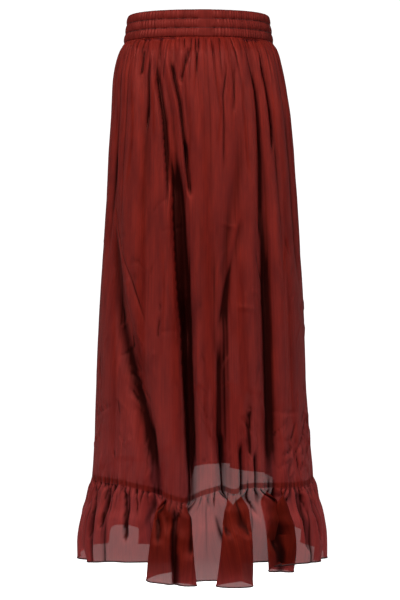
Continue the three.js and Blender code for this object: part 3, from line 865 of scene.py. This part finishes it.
def mark_hollows(piece, points, reaches, axis=1):
    """Notes on each point how deep it lies in a fold, which sets the painted shade and closes the sheer
    cloth: 0 on open cloth, 1 at the bottom of a deep one.
    """
    spacing = np.linalg.norm(np.diff(points, axis=axis), axis=-1).mean()
    total = np.zeros(points.shape[:2])
    shut_in = np.zeros(points.shape[:2])
    inside = ease(points[..., 2], SHUT_FROM["low"], SHUT_FROM["high"])
    for row in reaches:
        steps = max(1, round(row["reach"] / spacing))
        roundness = row["reach"]**2 / (2 * PLAIN_RADIUS) if axis == 1 else 0.0
        depth = (sunk_below(points, steps, axis) + roundness) / row["deepest"]
        share = row["most"] * np.clip(depth, 0, 1) * ease(-points[..., 2], -row["from"], -row["full"])
        total += share
        shut_in += share * np.maximum(row["closes"], inside)
    for name, values in (("hollow", total), ("shut_in", shut_in)):
        layer = piece.data.attributes.new(name, "FLOAT", "POINT")
        layer.data.foreach_set("value", (np.clip(values, 0, 1) ** HOLLOW_SHARPNESS).ravel())


def finish_piece(piece, material, stands_for=None):
    """Gives a piece its material and body, and hides the solid that it stands for."""
    piece.data.materials.append(material)
    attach(piece, "root")
    if stands_for:
        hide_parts(stands_for)
    return piece


def nodes_of(name):
    """A new node material with only its Principled shader and output, ready to be linked."""
    material = bpy.data.materials.new(name)
    material.use_nodes = True
    tree = material.node_tree
    shader = tree.nodes["Principled BSDF"]
    return material, tree, shader


def fill_in(tree, node, inputs):
    """Fills in inputs of a node, each with a value or with a link from another node."""
    for key, value in inputs.items():
        if isinstance(value, bpy.types.NodeSocket):
            tree.links.new(value, node.inputs[key])
        else:
            node.inputs[key].default_value = value


def add_node(tree, kind, inputs, **settings):
    """A node with its settings made and its inputs filled in."""
    node = tree.nodes.new(kind)
    for key, value in settings.items():
        setattr(node, key, value)
    fill_in(tree, node, inputs)
    return node


def cloth_places(tree, stretch=(1.0, 1.0, 1.0)):
    """The place on the flat cloth, in metres, stretched for a pattern."""
    uv = add_node(tree, "ShaderNodeUVMap", {}, uv_map="cloth")
    mapping = add_node(tree, "ShaderNodeMapping", {"Vector": uv.outputs["UV"], "Scale": stretch})
    return mapping.outputs["Vector"]


def bump(tree, pattern, strength, height, over=None):
    """The relief of a pattern, in metres, over another relief if there is one."""
    inputs = {"Strength": strength, "Distance": height, "Height": pattern}
    if over:
        inputs["Normal"] = over
    return add_node(tree, "ShaderNodeBump", inputs).outputs["Normal"]


def shade_of(colour, share=1.0):
    """A colour made darker or paler, as a node takes it."""
    return (*[share * part for part in colour], 1)


def two_colours(tree, share, first, second):
    """A colour between two, by a pattern."""
    inputs = {"A": first, "B": second, "Factor": share}
    return add_node(tree, "ShaderNodeMix", inputs, data_type="RGBA").outputs["Result"]


def by_depth(tree, measure, outside, inside):
    """A number that changes from outside a fold to its bottom, by a measure kept on its points."""
    depth = add_node(tree, "ShaderNodeAttribute", {}, attribute_name=measure)
    inputs = {"Value": depth.outputs["Fac"], "To Min": outside, "To Max": inside}
    return add_node(tree, "ShaderNodeMapRange", inputs).outputs["Result"]


def slub_threads(tree):
    """Soft streaks along the warp, from threads that are thicker in places."""
    both = add_node(tree, "ShaderNodeMath", {}, operation="MULTIPLY")
    for k, streak in enumerate(SLUB_STREAKS):
        noise = add_node(tree, "ShaderNodeTexNoise", {
            "Vector": cloth_places(tree, streak["stretch"]), "Scale": 1.0,
            "Detail": streak["detail"], "Roughness": streak["roughness"],
        })
        fill_in(tree, both, {k: noise.outputs["Fac"]})
    spread = add_node(tree, "ShaderNodeMapRange", {
        "Value": both.outputs["Value"], "From Min": SLUBS_SHOW["low"], "From Max": SLUBS_SHOW["high"],
    })
    return spread.outputs["Result"]


def weave_relief(tree, height):
    """The relief of a plain weave. The bands of a wave texture lie pi / (10 * scale) apart."""
    over = add_node(tree, "ShaderNodeMath", {}, operation="MAXIMUM")
    for k, way in enumerate("XY"):
        inputs = {"Vector": cloth_places(tree), "Scale": math.pi / THREAD_PITCH / 10}
        threads = add_node(tree, "ShaderNodeTexWave", inputs, wave_type="BANDS", bands_direction=way)
        fill_in(tree, over, {k: threads.outputs["Fac"]})
    return bump(tree, over.outputs["Value"], WEAVE_STRENGTH, height)


def paint_fold_shade(tree, colour, measure="hollow"):
    """Paints shade into a colour towards the bottoms of the folds, where little light reaches the cloth."""
    inputs = {0: colour, "Scale": by_depth(tree, measure, 1.0, 1.0 - HOLLOW_SHADE)}
    return add_node(tree, "ShaderNodeVectorMath", inputs, operation="SCALE").outputs["Vector"]


def let_light_through(tree, shader, colours):
    """Mixes in the glow of thin cloth that is lit from its other side, with shade painted into the glow's
    colour where folds shut the cloth in.
    """
    tint = add_node(tree, "ShaderNodeRGB", {})
    tint.outputs["Color"].default_value = shade_of(colours.glow)
    # painted shade: the glow's colour is darkened where folds shut the cloth in
    colour = paint_fold_shade(tree, tint.outputs["Color"], "shut_in")
    glow = add_node(tree, "ShaderNodeBsdfTranslucent", {"Color": colour})
    inputs = {"Fac": GLOW_SHARE, 1: shader.outputs["BSDF"], 2: glow.outputs["BSDF"]}
    mix = add_node(tree, "ShaderNodeMixShader", inputs)
    fill_in(tree, tree.nodes["Material Output"], {"Surface": mix.outputs["Shader"]})


def woven_silk(name, plain, slub, weave_height, slub_height, finish):
    """Plain-weave silk whose slubs have a colour of their own, with shade painted into its folds."""
    material, tree, shader = nodes_of(name)
    slubs = slub_threads(tree)
    relief = weave_relief(tree, weave_height)
    if slub_height:
        relief = bump(tree, slubs, SLUB_STRENGTH, slub_height, relief)
    # painted shade: the colour is darkened towards the bottoms of the folds
    colour = paint_fold_shade(tree, two_colours(tree, slubs, plain, slub))
    fill_in(tree, shader, {"Base Color": colour, "Normal": relief, **finish})
    return material, tree, shader


def silk_material(colours, name="sheer_silk", cover=None):
    """Sheer silk: one layer lets the light behind it through and two look solid. Where folds shut it in it
    stops more of the light, partly for cloth that folds lay double and partly as painted shade.
    """
    plain, slub = shade_of(colours.silk), shade_of(colours.silk_slub)
    material, tree, shader = woven_silk(name, plain, slub, SILK_WEAVE, SLUB_HEIGHT, SILK_FINISH)
    # partly painted shade: the cloth is made more solid where folds shut it in
    fill_in(tree, shader, {"Alpha": by_depth(tree, "shut_in", cover or colours.cover, 1.0)})
    let_light_through(tree, shader, colours)
    return material


def turning_material(colours):
    """The same silk where it is turned in at a seam, behind the layer that faces out."""
    return silk_material(colours, "turned_silk", colours.turning_cover)


def band_material(colours):
    """The waistband's doubled silk, drawn up over elastic."""
    plain, slub = [shade_of(colours.band, share) for share in BAND_SHADES]
    return woven_silk("shirred_silk", plain, slub, BAND_WEAVE, None, BAND_FINISH)[0]


def thread_material(colours):
    """Sewing thread, and the many layers of a rolled hem."""
    material, tree, shader = nodes_of("thread")
    places = add_node(tree, "ShaderNodeTexCoord", {})
    inputs = {"Vector": places.outputs["Object"], "Scale": TWIST["scale"], "Detail": TWIST["detail"]}
    twist = add_node(tree, "ShaderNodeTexNoise", inputs).outputs["Fac"]
    fill_in(tree, shader, {
        "Base Color": two_colours(tree, twist, *[shade_of(colours.thread, share) for share in THREAD_SHADES]),
        "Normal": bump(tree, twist, TWIST["strength"], TWIST["height"]),
        "Roughness": 0.6,
    })
    return material


def material_named(name, make):
    """A material that several operators share."""
    return bpy.data.materials.get(name) or make(bpy.context.scene.skirt_colours)


def side_bearings(side, columns):
    """Bearings of a panel's columns, from one side seam to the other."""
    start = SIDES[side]
    return np.linspace(start, start + 180, columns)


def even_bearings(side, columns, part, place, sizes):
    """Bearings whose points are evenly spaced along the cloth at one place down it."""
    many = side_bearings(side, EVEN_STEPS * columns)
    row = cloth_points(many, np.full(many.shape, float(place)), part, sizes)
    gone = np.concatenate([[0], np.cumsum(np.linalg.norm(np.diff(row, axis=0), axis=1))])
    return np.interp(np.linspace(0, gone[-1], columns), gone, many)


def panel_grid(side, part, columns, places, sizes):
    """A panel's points, a row for each place."""
    bearings = even_bearings(side, columns, part, places[-1], sizes)
    bearing, place = np.meshgrid(bearings, places)
    points = cloth_points(bearing, place, part, sizes)
    if part == "ruffle":
        return points
    tucked = points[:1] * (1 - TUCK["inward"] / BAND_FORM["bottom_width"], 1, 1)
    tucked = tucked * (1, 1 - TUCK["inward"] / BAND_FORM["bottom_depth"], 1) + (0, 0, TUCK["up"])
    return np.concatenate([tucked, points])


def flat_grid(points, width, length):
    """Even places on the flat cut for a grid of points, in metres."""
    rows, columns = points.shape[:2]
    u, v = np.meshgrid(np.linspace(0, width, columns), np.linspace(length, 0, rows))
    return np.stack([u, v], axis=-1)


def row_length(points):
    """The length of a row of points in metres."""
    return float(np.linalg.norm(np.diff(points, axis=0), axis=1).sum() * MM)


def silk_piece(name, points, measured_row, hollows):
    """A sheer piece from a grid of points, with its width along one row and its length down its middle."""
    width = row_length(points[measured_row])
    length = row_length(points[:, points.shape[1] // 2])
    flat = flat_grid(points, width, length)
    piece = mesh_piece(f"{name}_cloth", points, grid_faces(*points.shape[:2]), flat)
    mark_hollows(piece, points, hollows)
    finish_piece(piece, material_named("sheer_silk", silk_material), name)
    return piece, width, length


def tube_along(name, path, radii, sides=6):
    """A closed thin tube along a path of points in millimetres, flattened to its two radii."""
    ahead = np.gradient(path, axis=0)
    ahead /= np.linalg.norm(ahead, axis=1)[:, None]
    out = np.cross(ahead, UP)
    out /= np.linalg.norm(out, axis=1)[:, None]
    rise = np.cross(out, ahead)
    angles = np.linspace(0, 2 * math.pi, sides, endpoint=False)
    rings = [path + out * radii[0] * math.cos(a) + rise * radii[1] * math.sin(a) for a in angles]
    count = len(path)
    faces = grid_faces(sides, count, round_rows=True).tolist()
    faces.append([s * count for s in range(sides)])
    faces.append([s * count + count - 1 for s in reversed(range(sides))])
    piece = mesh_piece(name, np.stack(rings), faces)
    face_outwards(piece)
    return piece


def select_none():
    """Leaves nothing selected."""
    for other in bpy.context.selected_objects:
        other.select_set(False)


def face_outwards(piece):
    """Turns the faces of a closed piece outwards."""
    select_none()
    bpy.context.view_layer.objects.active = piece
    piece.select_set(True)
    bpy.ops.object.mode_set(mode="EDIT")
    bpy.ops.mesh.select_all(action="SELECT")
    bpy.ops.mesh.normals_make_consistent(inside=False)
    bpy.ops.object.mode_set(mode="OBJECT")
    piece.select_set(False)


class SKIRT_OT_waistband(bpy.types.Operator):
    """Make the shirred elastic waistband with its plain join at the centre back"""

    bl_idname = "skirt.waistband"
    bl_label = "Waistband"

    def execute(self, context):
        sizes = context.scene.skirt_sizes
        bearing = np.linspace(0, 360, BAND_COLUMNS, endpoint=False)
        outer = [self.outer_row(bearing, down, sizes) for down in np.linspace(0, 1, BAND_ROWS)]
        inner = [self.inner_row(bearing, down) for down in np.linspace(1, 0, BAND_ROWS // 3)]
        points = np.stack(outer + inner)
        faces = grid_faces(len(points), BAND_COLUMNS, round_columns=True, round_rows=True)
        flat = flat_grid(points, BAND_PATTERN["round"], BAND_PATTERN["down_and_up"])
        piece = mesh_piece("waistband_cloth", points, faces, flat)
        mark_hollows(piece, points, BAND_HOLLOWS, axis=0)
        face_outwards(piece)
        band = material_named("shirred_silk", band_material)
        finish_piece(piece, band, "waistband")
        return {"FINISHED"}

    def ring(self, bearing, down, inset):
        """Points of the band's plain form, moved in."""
        form = BAND_FORM
        wide = form["top_width"] + (form["bottom_width"] - form["top_width"]) * down - inset
        deep = form["top_depth"] + (form["bottom_depth"] - form["top_depth"]) * down - inset
        x, y = oval(bearing, wide, deep)
        return np.stack([x, y, BAND_HEIGHT / 2 - BAND_HEIGHT * down + 0 * x], axis=-1)

    def outer_row(self, bearing, down, sizes):
        """A row of the face: puffed between the stitch rows, its shirring shifted from channel to channel."""
        a = np.radians(bearing)
        in_channel = (down * CHANNELS) % 1
        channel = min(CHANNELS - 1, int(down * CHANNELS))
        puff = math.sin(math.pi * in_channel) ** PUFF_ROUNDNESS if 0 < in_channel < 1 else 0.0
        from_join = np.abs(turn(JOIN["bearing"], bearing)) * math.radians(BAND_FORM["top_width"])
        shirred = ease(from_join, JOIN["half_width"], JOIN["half_width"] + JOIN["blend"])
        lean = SHIRRING["lean"] * math.sin(SHIRRING["leans"] * down * CHANNELS)
        shift = SHIRRING["shift"] * wander(bearing, 2 + channel) + lean
        folds = np.cos(BAND_GATHERS * a + SHIRRING["wander"] * wander(bearing, 6) + shift)
        soft = np.cos(SOFT_SHIRRING["count"] * a + SOFT_SHIRRING["wander"] * wander(bearing, 9 + channel))
        height = SHIRRING["least"] + SHIRRING["more"] * np.sin(SHIRRING["swings"] * a + channel) ** 2
        relief = sizes.gather_strength * shirred * (height * folds + SOFT_SHIRRING["height"] * soft)
        edge = FACE_EDGE if down in (0, 1) else 0.0
        stitched = STITCH_DEPTH * (1 - puff) * (STITCHED_PLAIN + STITCHED_MORE * shirred)
        return self.ring(bearing, down, edge + stitched - relief + FACE_INSET)

    def inner_row(self, bearing, down):
        """A row of the inside, which is only softly gathered."""
        swing = INSIDE["count"] * np.radians(bearing) + INSIDE["wander"] * wander(bearing, 5)
        soft = INSIDE["height"] * np.cos(swing)
        edge = INSIDE["edge"] if down in (0, 1) else 0.0
        return self.ring(bearing, down, BAND_THICKNESS + INSIDE["behind"] - edge + soft)


class SKIRT_OT_body(bpy.types.Operator):
    """Make the back and front panels of the body, gathered into the waistband"""

    bl_idname = "skirt.body"
    bl_label = "Body panels"

    def execute(self, context):
        sizes = context.scene.skirt_sizes
        places = np.linspace(0, 1, BODY_ROWS) ** BODY_CROWDING
        for side in SIDES:
            points = panel_grid(side, "body", BODY_COLUMNS, places, sizes)
            piece, width, length = silk_piece(f"{side}_panel", points, BODY_ROWS // 2, CLOTH_HOLLOWS)
        return {"FINISHED"}


class SKIRT_OT_ruffles(bpy.types.Operator):
    """Make the gathered ruffle along the hem, in a back and a front length"""

    bl_idname = "skirt.ruffles"
    bl_label = "Ruffles"

    def execute(self, context):
        sizes = context.scene.skirt_sizes
        places = 1 + np.linspace(0, 1, RUFFLE_ROWS) ** RUFFLE_CROWDING
        for side in SIDES:
            points = panel_grid(side, "ruffle", RUFFLE_COLUMNS, places, sizes)
            piece, width, _ = silk_piece(f"{side}_ruffle", points, -1, RUFFLE_HOLLOWS)
        return {"FINISHED"}


class SKIRT_OT_seams(bpy.types.Operator):
    """Make the pressed turnings above the ruffle's seam and the rolled hem"""

    bl_idname = "skirt.seams"
    bl_label = "Turnings and hems"

    def execute(self, context):
        sizes = context.scene.skirt_sizes
        for side in SIDES:
            self.turnings(side, sizes)
            self.rolled_hem(side, sizes)
        return {"FINISHED"}

    def turnings(self, side, sizes):
        """A strip of seam turnings on the inside of the body, pressed up from the ruffle's seam."""
        bearing = side_bearings(side, RUFFLE_COLUMNS)
        length = BODY_TOP - line_height("seam", bearing)
        rows = []
        for share in np.linspace(1, 0, TURNING_ROWS):
            place = 1 - share * sizes.turning / MM / length
            rows.append(cloth_points(bearing, place, "body", sizes))
        points = np.stack(rows)
        inward = np.cross(UP, np.gradient(points, axis=1))
        inward /= np.linalg.norm(inward, axis=-1)[..., None]
        points = points + TURNED_IN * inward
        piece = mesh_piece(f"{side}_seam_turnings", points, grid_faces(*points.shape[:2]),
                           flat_grid(points, row_length(points[0]), sizes.turning))
        finish_piece(piece, material_named("turned_silk", turning_material))

    def rolled_hem(self, side, sizes):
        """The narrow rolled edge along the ruffle's hem."""
        bearing = even_bearings(side, RUFFLE_COLUMNS, "ruffle", 2, sizes)
        path = cloth_points(bearing, np.full(bearing.shape, 2.0), "ruffle", sizes)
        radius = sizes.hem_roll / MM / 2
        piece = tube_along(f"{side}_rolled_hem", path, (HEM_FLATNESS * radius, radius))
        finish_piece(piece, material_named("thread", thread_material))


class SKIRT_OT_stitching(bpy.types.Operator):
    """Sew the two rows of stitches that divide the waistband into its channels"""

    bl_idname = "skirt.stitching"
    bl_label = "Stitching"

    def execute(self, context):
        sizes = context.scene.skirt_sizes
        band = bpy.data.objects["waistband_cloth"]
        for row in range(1, CHANNELS):
            z = BAND_HEIGHT / 2 - BAND_HEIGHT * row / CHANNELS
            self.stitch_row(f"stitch_row_{row}", band, z * MM, sizes)
        return {"FINISHED"}

    def stitch_row(self, name, band, z, sizes):
        """One row of machine stitches round the band, each a short sunk loop of thread."""
        ring = np.array([v.co[:] for v in band.data.vertices])
        near = ring[: BAND_ROWS * BAND_COLUMNS].reshape(BAND_ROWS, BAND_COLUMNS, 3)
        path = near[int(np.argmin(np.abs(near[:, 0, 2] - z)))]
        steps = np.linalg.norm(np.diff(path, axis=0, append=path[:1]), axis=1)
        count = int(steps.sum() / (sizes.stitch_length * STITCH_PITCH))
        points, faces = [], []
        for k in range(count):
            start = k * BAND_COLUMNS / count
            places = [start + t * BAND_COLUMNS / count * STITCH_SHARE for t in (0, 0.5, 1)]
            ends = [path[int(place) % BAND_COLUMNS] for place in places]
            self.one_stitch(points, faces, ends, sizes.thread_width)
        piece = mesh_piece(name, np.array(points) / MM, faces)
        face_outwards(piece)
        finish_piece(piece, material_named("thread", thread_material))

    def one_stitch(self, points, faces, ends, width):
        """A four-sided loop of thread, sunk at both ends."""
        base = len(points)
        outward = ends[1] * (1, 1, 0)
        outward /= np.linalg.norm(outward)
        half = width / 2
        for at, lift in zip(ends, (-STITCH_SUNK, STITCH_RAISED, -STITCH_SUNK)):
            centre = at + outward * lift * half
            for way in (outward, UP, -outward, -UP):
                points.append((centre + way * half).tolist())
        for ring in (base, base + 4):
            for s in range(4):
                t = (s + 1) % 4
                faces.append([ring + s, ring + t, ring + 4 + t, ring + 4 + s])
        faces.append([base, base + 1, base + 2, base + 3])
        faces.append([base + 11, base + 10, base + 9, base + 8])


class SKIRT_OT_stage(bpy.types.Operator):
    """Set the pale floor and backdrop, the soft lights and the camera"""

    bl_idname = "skirt.stage"
    bl_label = "Stage"

    def execute(self, context):
        self.backdrop(context.scene.skirt_colours)
        self.lights()
        self.camera(context.scene)
        return {"FINISHED"}

    def backdrop(self, colours):
        """A round pale room: the floor curves up into the wall and the wall into a domed top."""
        floor_z, radius, bend, steps, sides = -1.35, 12.0, 3.0, 8, 64
        profile = [(0.05, floor_z), (radius - bend, floor_z)]
        for step in range(1, steps + 1):
            a = math.pi / 2 * step / steps
            profile.append((radius - bend + bend * math.sin(a), floor_z + bend - bend * math.cos(a)))
        for step in range(1, steps):
            a = math.pi / 2 * step / steps
            profile.append((radius * math.cos(a), floor_z + bend + radius * math.sin(a)))
        around = np.linspace(0, 2 * math.pi, sides, endpoint=False)
        points = np.array([[(r * np.cos(a), r * np.sin(a), z) for a in around] for r, z in profile]) / MM
        faces = grid_faces(len(profile), sides, round_columns=True).tolist()
        faces.append(list(range(sides)))
        piece = mesh_piece("backdrop", points, faces)
        material, tree, shader = nodes_of("pale_floor")
        fill_in(tree, shader, {"Base Color": shade_of(colours.floor), **FLOOR_FINISH})
        piece.data.materials.append(material)
        piece.visible_diffuse = False
        piece.visible_glossy = False
        piece.visible_shadow = False

    def lights(self):
        """A soft key from the upper left, a weaker fill from the right, one behind, and a pale surround."""
        world = bpy.data.worlds.new("studio")
        world.use_nodes = True
        background = world.node_tree.nodes["Background"]
        fill_in(world.node_tree, background, {"Color": (1, 1, 1, 1), "Strength": SURROUND})
        bpy.context.scene.world = world
        for soft in LIGHTS:
            data = bpy.data.lights.new(soft["name"], "AREA")
            data.shape = "SQUARE"
            data.size = soft["size"]
            data.energy = soft["power"]
            light = bpy.data.objects.new(soft["name"], data)
            light.location = soft["at"]
            aim = Vector((0, 0, CAMERA_HEIGHT)) - light.location
            light.rotation_euler = aim.to_track_quat("-Z", "Y").to_euler()
            light.visible_camera = False
            light.visible_glossy = soft["gloss"]
            bpy.context.collection.objects.link(light)

    def camera(self, scene):
        """A level camera at mid-height, square to the back of the skirt."""
        data = bpy.data.cameras.new("camera")
        data.sensor_fit = "VERTICAL"
        data.sensor_height = SENSOR
        data.lens = SENSOR * CAMERA_DISTANCE / FRAME_HEIGHT
        camera = bpy.data.objects.new("camera", data)
        camera.location = (CAMERA_SIDE, -CAMERA_DISTANCE, CAMERA_HEIGHT)
        camera.rotation_euler = (math.pi / 2, 0, 0)
        bpy.context.collection.objects.link(camera)
        scene.camera = camera
        scene.view_settings.view_transform = "Standard"


class SKIRT_PT_panel(bpy.types.Panel):
    """The skirt's sizes, colours and pieces"""

    bl_idname = "SKIRT_PT_panel"
    bl_label = "Gathered Maxi Skirt"
    bl_space_type = "VIEW_3D"
    bl_region_type = "UI"
    bl_category = "Skirt"

    def draw(self, context):
        layout = self.layout
        for group in (context.scene.skirt_sizes, context.scene.skirt_colours):
            box = layout.box()
            for name in group.__annotations__:
                box.prop(group, name)
        for operator in PIECES:
            layout.operator(operator.bl_idname)


PIECES = [
    SKIRT_OT_stage,
    SKIRT_OT_waistband,
    SKIRT_OT_stitching,
    SKIRT_OT_seams,
    SKIRT_OT_body,
    SKIRT_OT_ruffles,
]
CLASSES = [SkirtSizes, SkirtColours, *PIECES, SKIRT_PT_panel]


def register():
    """Add the classes and the settings to Blender."""
    for each in CLASSES:
        bpy.utils.register_class(each)
    bpy.types.Scene.skirt_sizes = PointerProperty(type=SkirtSizes)
    bpy.types.Scene.skirt_colours = PointerProperty(type=SkirtColours)


def unregister():
    """Take them out again."""
    del bpy.types.Scene.skirt_colours
    del bpy.types.Scene.skirt_sizes
    for each in reversed(CLASSES):
        bpy.utils.unregister_class(each)


def main():
    """Build the whole skirt."""
    register()
    select_none()
    bpy.ops.skirt.stage()
    bpy.ops.skirt.waistband()
    bpy.ops.skirt.stitching()
    bpy.ops.skirt.seams()
    bpy.ops.skirt.body()
    bpy.ops.skirt.ruffles()


if __name__ == "__main__":
    main()
